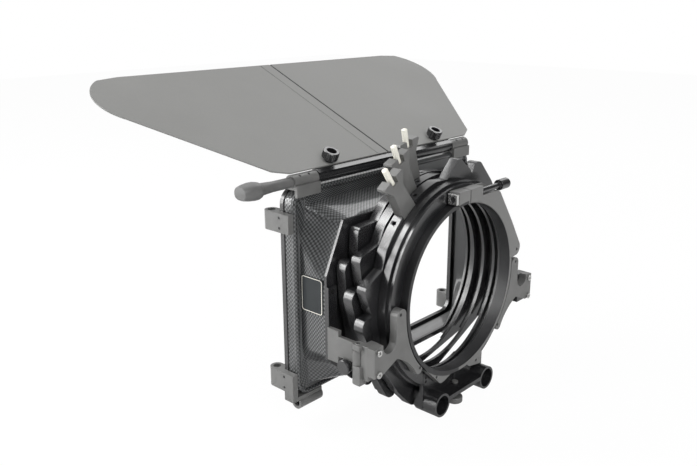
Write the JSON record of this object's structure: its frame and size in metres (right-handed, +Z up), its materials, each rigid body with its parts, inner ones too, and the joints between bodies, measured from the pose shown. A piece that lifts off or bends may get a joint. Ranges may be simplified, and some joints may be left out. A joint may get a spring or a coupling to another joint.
{
  "type": "swing-away matte box",
  "caption": "Swing-away camera matte box: split lens clamp with rod bracket, three turning filter stages, carbon hood and a tilting top flag.",
  "frame": {"origin": "centre of the lens clamp's bore at its rear face", "axes": "+Y along the optical axis towards the scene, +X to the operator's right, +Z up"},
  "size_m": [0.3702, 0.2173, 0.2516],
  "materials": {
    "black_anodised": "gloss black anodised",
    "grey_anodised": "bead-blasted dark grey anodised",
    "steel": "bright",
    "black_steel": "black oxide",
    "carbon_weave": "glossy woven carbon fibre in resin",
    "label": "black with a white outline",
    "flag_paint": "matt grey painted sheet",
    "nylon": "white nylon",
    "lever_plastic": "grey moulded"
  },
  "bodies": {
    "rear_frame": {"lens_clamp_ring": "grey_anodised", "clamp_nut": "steel", "adapter_ring": "black_anodised", "stage_base": "black_anodised", "ear_left": "grey_anodised", "ear_right": "grey_anodised", "hinge_block": "grey_anodised", "stop_block": "black_anodised", "hinge_pin": "steel", "ear_screws": "steel", "frame_screws": "black_steel", "rod_bracket": "black_anodised"},
    "clamp_screw": {"clamp_screw": "black_anodised"},
    "rod_lock_screw": {"rod_lock_screw": "grey_anodised"},
    "swing_frame": {"swing_arm": "grey_anodised", "mount_rail": "black_anodised", "rail_screws": "black_steel", "hood_mount_plate": "black_anodised", "hood_shell": "carbon_weave", "front_frame": "black_anodised", "label_plate": "label", "side_bracket_left": "grey_anodised", "side_bracket_right": "grey_anodised", "corner_bracket_left": "grey_anodised", "corner_bracket_right": "grey_anodised", "top_clamp_left": "grey_anodised", "top_clamp_right": "grey_anodised", "bracket_set_screws": "black_steel", "flag_rod": "black_anodised"},
    "swing_lock_knob": {"swing_lock_knob": "black_anodised"},
    "stage_c": {"stage_frame_c": "black_anodised", "stage_handle_c": "grey_anodised"},
    "stage_screw_c": {"handle_pin_c": "nylon"},
    "stage_b": {"stage_frame_b": "black_anodised", "stage_handle_b": "grey_anodised"},
    "stage_screw_b": {"handle_pin_b": "nylon"},
    "stage_a": {"stage_frame_a": "black_anodised", "stage_handle_a": "grey_anodised"},
    "stage_screw_a": {"handle_pin_a": "nylon"},
    "flag": {"flag_bar": "black_anodised", "flag_panel_left": "flag_paint", "flag_panel_right": "flag_paint", "flag_hinge_leaf": "flag_paint", "flag_hinge_pin": "black_steel"},
    "flag_knob_left": {"flag_knob_left": "black_anodised"},
    "flag_knob_right": {"flag_knob_right": "black_anodised"},
    "flag_lever": {"flag_lever": "lever_plastic"}
  },
  "joints": [
    {"name": "swing_hinge", "type": "hinge", "parent": "rear_frame", "child": "swing_frame", "pos_m": [-0.1012, 0.0164, -0.0255], "axis": [0, 0, 1], "range_deg": [0, 90]},
    {"name": "clamp_screw_turn", "type": "hinge", "parent": "rear_frame", "child": "clamp_screw", "pos_m": [0.03, 0.0012, 0.0716], "axis": [1, 0, 0], "continuous": true},
    {"name": "rod_lock_turn", "type": "hinge", "parent": "rear_frame", "child": "rod_lock_screw", "pos_m": [0, 0.0044, -0.09], "axis": [0, 0, 1], "continuous": true},
    {"name": "swing_lock_turn", "type": "hinge", "parent": "swing_frame", "child": "swing_lock_knob", "pos_m": [-0.1026, 0.0262, -0.0355], "axis": [1, 0, 0], "continuous": true},
    {"name": "stage_turn_c", "type": "hinge", "parent": "swing_frame", "child": "stage_c", "pos_m": [0, 0.02, 0], "axis": [0, 1, 0], "range_deg": [-52, 270]},
    {"name": "stage_screw_turn_c", "type": "hinge", "parent": "stage_c", "child": "stage_screw_c", "pos_m": [-0.06241, 0.02, 0.08814], "axis": [-0.5779, 0, 0.8161], "continuous": true},
    {"name": "stage_turn_b", "type": "hinge", "parent": "swing_frame", "child": "stage_b", "pos_m": [0, 0.03, 0], "axis": [0, 1, 0], "range_deg": [-62, 262]},
    {"name": "stage_screw_turn_b", "type": "hinge", "parent": "stage_b", "child": "stage_screw_b", "pos_m": [-0.04358, 0.03, 0.09882], "axis": [-0.4035, 0, 0.915], "continuous": true},
    {"name": "stage_turn_a", "type": "hinge", "parent": "swing_frame", "child": "stage_a", "pos_m": [0, 0.04, 0], "axis": [0, 1, 0], "range_deg": [-58, 252]},
    {"name": "stage_screw_turn_a", "type": "hinge", "parent": "stage_a", "child": "stage_screw_a", "pos_m": [-0.02209, 0.04, 0.10572], "axis": [-0.2045, 0, 0.9789], "continuous": true},
    {"name": "flag_tilt", "type": "hinge", "parent": "swing_frame", "child": "flag", "pos_m": [0, 0.076, 0.0878], "axis": [1, 0, 0], "range_deg": [-55, 66]},
    {"name": "flag_knob_turn_left", "type": "hinge", "parent": "flag", "child": "flag_knob_left", "pos_m": [-0.0627, 0.0785, 0.09874], "axis": [0, -0.4035, 0.915], "continuous": true},
    {"name": "flag_knob_turn_right", "type": "hinge", "parent": "flag", "child": "flag_knob_right", "pos_m": [0.0627, 0.0785, 0.09874], "axis": [0, -0.4035, 0.915], "continuous": true},
    {"name": "flag_lever_turn", "type": "hinge", "parent": "swing_frame", "child": "flag_lever", "pos_m": [-0.125, 0.076, 0.0878], "axis": [1, 0, 0], "continuous": true}
  ]
}
